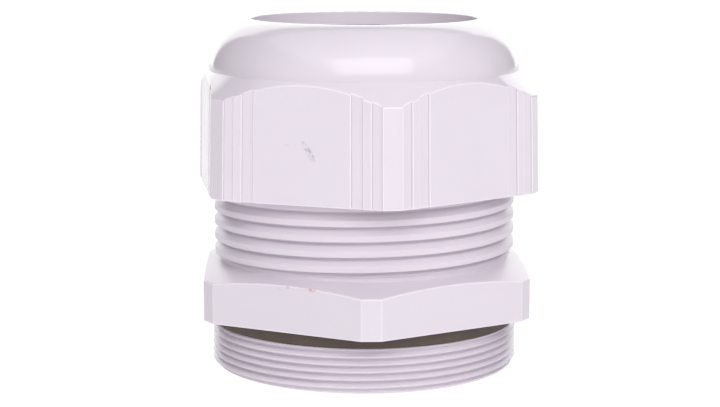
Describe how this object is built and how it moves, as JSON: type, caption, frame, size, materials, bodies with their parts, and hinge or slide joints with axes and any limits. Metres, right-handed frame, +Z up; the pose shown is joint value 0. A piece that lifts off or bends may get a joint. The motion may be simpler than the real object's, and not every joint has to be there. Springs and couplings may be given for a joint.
{
  "type": "cable gland",
  "caption": "Plastic cable gland with an M63 entry thread: hexagon body with gripping fingers and sealing bush, domed hexagon nut on a coarse thread, and a flat entry gasket.",
  "frame": {"origin": "centre of the bottom end face of the entry thread", "axes": "+Z up along the cable, from the entry thread to the dome nut; a corner of the body's hexagon points along -Y"},
  "size_m": [0.0694, 0.074, 0.0715],
  "materials": {
    "body_plastic": "satin moulded polyamide, light grey",
    "nut_plastic": "satin moulded polyamide, light grey, smoother than the body",
    "gasket_rubber": "matt dark brown-grey rubber",
    "bush_rubber": "matt black rubber",
    "ring_plastic": "smooth natural-colour plastic"
  },
  "bodies": {
    "body": {"gland_body": "body_plastic", "entry_gasket": "gasket_rubber", "sealing_bush": "bush_rubber"},
    "slip_ring": {"slip_ring": "ring_plastic"},
    "nut": {"dome_nut": "nut_plastic"},
    "finger_01": {"finger_01": "body_plastic"},
    "finger_02": {"finger_02": "body_plastic"},
    "finger_03": {"finger_03": "body_plastic"},
    "finger_04": {"finger_04": "body_plastic"},
    "finger_05": {"finger_05": "body_plastic"},
    "finger_06": {"finger_06": "body_plastic"},
    "finger_07": {"finger_07": "body_plastic"},
    "finger_08": {"finger_08": "body_plastic"},
    "finger_09": {"finger_09": "body_plastic"},
    "finger_10": {"finger_10": "body_plastic"},
    "finger_11": {"finger_11": "body_plastic"},
    "finger_12": {"finger_12": "body_plastic"},
    "finger_13": {"finger_13": "body_plastic"},
    "finger_14": {"finger_14": "body_plastic"},
    "finger_15": {"finger_15": "body_plastic"},
    "finger_16": {"finger_16": "body_plastic"}
  },
  "joints": [
    {"name": "nut_travel", "type": "slide", "parent": "body", "child": "slip_ring", "axis": [0, 0, 1], "range_m": [-0.012, 0.003], "deforming": ["sealing_bush"]},
    {"name": "nut_turn", "type": "hinge", "parent": "slip_ring", "child": "nut", "pos_m": [0, 0, 0.05], "axis": [0, 0, 1], "range_deg": [-1440, 360]},
    {"name": "finger_01_flex", "type": "hinge", "parent": "body", "child": "finger_01", "pos_m": [0.027, 0, 0.0433], "axis": [0, -1, 0], "range_deg": [-2.8, 11.2]},
    {"name": "finger_02_flex", "type": "hinge", "parent": "body", "child": "finger_02", "pos_m": [0.02494, 0.01033, 0.0433], "axis": [0.3827, -0.9239, 0], "range_deg": [-2.8, 11.2]},
    {"name": "finger_03_flex", "type": "hinge", "parent": "body", "child": "finger_03", "pos_m": [0.01909, 0.01909, 0.0433], "axis": [0.7071, -0.7071, 0], "range_deg": [-2.8, 11.2]},
    {"name": "finger_04_flex", "type": "hinge", "parent": "body", "child": "finger_04", "pos_m": [0.01033, 0.02494, 0.0433], "axis": [0.9239, -0.3827, 0], "range_deg": [-2.8, 11.2]},
    {"name": "finger_05_flex", "type": "hinge", "parent": "body", "child": "finger_05", "pos_m": [0, 0.027, 0.0433], "axis": [1, 0, 0], "range_deg": [-2.8, 11.2]},
    {"name": "finger_06_flex", "type": "hinge", "parent": "body", "child": "finger_06", "pos_m": [-0.01033, 0.02494, 0.0433], "axis": [0.9239, 0.3827, 0], "range_deg": [-2.8, 11.2]},
    {"name": "finger_07_flex", "type": "hinge", "parent": "body", "child": "finger_07", "pos_m": [-0.01909, 0.01909, 0.0433], "axis": [0.7071, 0.7071, 0], "range_deg": [-2.8, 11.2]},
    {"name": "finger_08_flex", "type": "hinge", "parent": "body", "child": "finger_08", "pos_m": [-0.02494, 0.01033, 0.0433], "axis": [0.3827, 0.9239, 0], "range_deg": [-2.8, 11.2]},
    {"name": "finger_09_flex", "type": "hinge", "parent": "body", "child": "finger_09", "pos_m": [-0.027, 0, 0.0433], "axis": [0, 1, 0], "range_deg": [-2.8, 11.2]},
    {"name": "finger_10_flex", "type": "hinge", "parent": "body", "child": "finger_10", "pos_m": [-0.02494, -0.01033, 0.0433], "axis": [-0.3827, 0.9239, 0], "range_deg": [-2.8, 11.2]},
    {"name": "finger_11_flex", "type": "hinge", "parent": "body", "child": "finger_11", "pos_m": [-0.01909, -0.01909, 0.0433], "axis": [-0.7071, 0.7071, 0], "range_deg": [-2.8, 11.2]},
    {"name": "finger_12_flex", "type": "hinge", "parent": "body", "child": "finger_12", "pos_m": [-0.01033, -0.02494, 0.0433], "axis": [-0.9239, 0.3827, 0], "range_deg": [-2.8, 11.2]},
    {"name": "finger_13_flex", "type": "hinge", "parent": "body", "child": "finger_13", "pos_m": [0, -0.027, 0.0433], "axis": [-1, 0, 0], "range_deg": [-2.8, 11.2]},
    {"name": "finger_14_flex", "type": "hinge", "parent": "body", "child": "finger_14", "pos_m": [0.01033, -0.02494, 0.0433], "axis": [-0.9239, -0.3827, 0], "range_deg": [-2.8, 11.2]},
    {"name": "finger_15_flex", "type": "hinge", "parent": "body", "child": "finger_15", "pos_m": [0.01909, -0.01909, 0.0433], "axis": [-0.7071, -0.7071, 0], "range_deg": [-2.8, 11.2]},
    {"name": "finger_16_flex", "type": "hinge", "parent": "body", "child": "finger_16", "pos_m": [0.02494, -0.01033, 0.0433], "axis": [-0.3827, -0.9239, 0], "range_deg": [-2.8, 11.2]}
  ],
  "couplings": [
    {"joint": "nut_travel", "follows": "nut_turn", "m_per_rad": 0.00047746},
    {"joint": "finger_01_flex", "follows": "nut_turn", "ratio": -0.0077777},
    {"joint": "finger_02_flex", "follows": "nut_turn", "ratio": -0.0077777},
    {"joint": "finger_03_flex", "follows": "nut_turn", "ratio": -0.0077777},
    {"joint": "finger_04_flex", "follows": "nut_turn", "ratio": -0.0077777},
    {"joint": "finger_05_flex", "follows": "nut_turn", "ratio": -0.0077777},
    {"joint": "finger_06_flex", "follows": "nut_turn", "ratio": -0.0077777},
    {"joint": "finger_07_flex", "follows": "nut_turn", "ratio": -0.0077777},
    {"joint": "finger_08_flex", "follows": "nut_turn", "ratio": -0.0077777},
    {"joint": "finger_09_flex", "follows": "nut_turn", "ratio": -0.0077777},
    {"joint": "finger_10_flex", "follows": "nut_turn", "ratio": -0.0077777},
    {"joint": "finger_11_flex", "follows": "nut_turn", "ratio": -0.0077777},
    {"joint": "finger_12_flex", "follows": "nut_turn", "ratio": -0.0077777},
    {"joint": "finger_13_flex", "follows": "nut_turn", "ratio": -0.0077777},
    {"joint": "finger_14_flex", "follows": "nut_turn", "ratio": -0.0077777},
    {"joint": "finger_15_flex", "follows": "nut_turn", "ratio": -0.0077777},
    {"joint": "finger_16_flex", "follows": "nut_turn", "ratio": -0.0077777}
  ]
}
